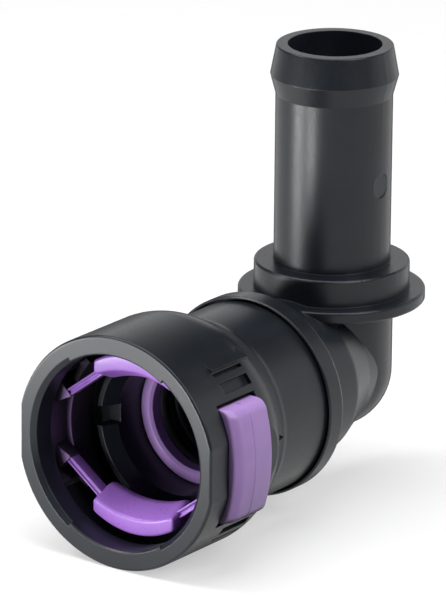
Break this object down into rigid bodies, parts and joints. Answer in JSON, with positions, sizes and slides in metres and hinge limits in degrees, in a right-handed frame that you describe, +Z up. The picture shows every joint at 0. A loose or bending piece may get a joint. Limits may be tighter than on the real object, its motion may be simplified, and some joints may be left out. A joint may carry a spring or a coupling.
{
  "type": "plastic quick disconnect coupling",
  "caption": "Right-angle push-in tube coupling: latching socket with squeeze-release buttons, and a barbed hose stem.",
  "frame": {"origin": "centre of the socket's mouth, in the plane of the housing's front face, on the socket axis", "axes": "+Y runs into the socket, +Z up along the hose stem, +X towards one of the two release buttons"},
  "size_m": [0.0434, 0.0777, 0.0766],
  "materials": {
    "black_nylon": "satin",
    "purple_acetal": "satin",
    "seal_rubber": "semi-gloss",
    "spacer_nylon": "satin"
  },
  "bodies": {
    "coupling_body": {"elbow_body": "black_nylon", "latch_housing": "black_nylon", "guide_ring": "purple_acetal", "front_seal": "seal_rubber", "spacer_ring": "spacer_nylon", "rear_seal": "seal_rubber"},
    "right_button": {"release_button_right": "purple_acetal"},
    "left_button": {"release_button_left": "purple_acetal"},
    "upper_latch": {"latch_pad_upper": "purple_acetal"},
    "lower_latch": {"latch_pad_lower": "purple_acetal"}
  },
  "joints": [
    {"name": "right_button_press", "type": "slide", "parent": "coupling_body", "child": "right_button", "axis": [-1, 0, 0], "range_m": [0, 0.0016], "stiffness_N_per_m": 6000},
    {"name": "left_button_press", "type": "slide", "parent": "coupling_body", "child": "left_button", "axis": [1, 0, 0], "range_m": [0, 0.0016], "stiffness_N_per_m": 6000},
    {"name": "upper_latch_lift", "type": "slide", "parent": "coupling_body", "child": "upper_latch", "axis": [0, 0, 1], "range_m": [0, 0.0016], "stiffness_N_per_m": 6000},
    {"name": "lower_latch_lift", "type": "slide", "parent": "coupling_body", "child": "lower_latch", "axis": [0, 0, -1], "range_m": [0, 0.0016], "stiffness_N_per_m": 6000}
  ],
  "couplings": [
    {"joint": "left_button_press", "follows": "right_button_press", "ratio": 1},
    {"joint": "upper_latch_lift", "follows": "right_button_press", "ratio": 1},
    {"joint": "lower_latch_lift", "follows": "right_button_press", "ratio": 1}
  ]
}
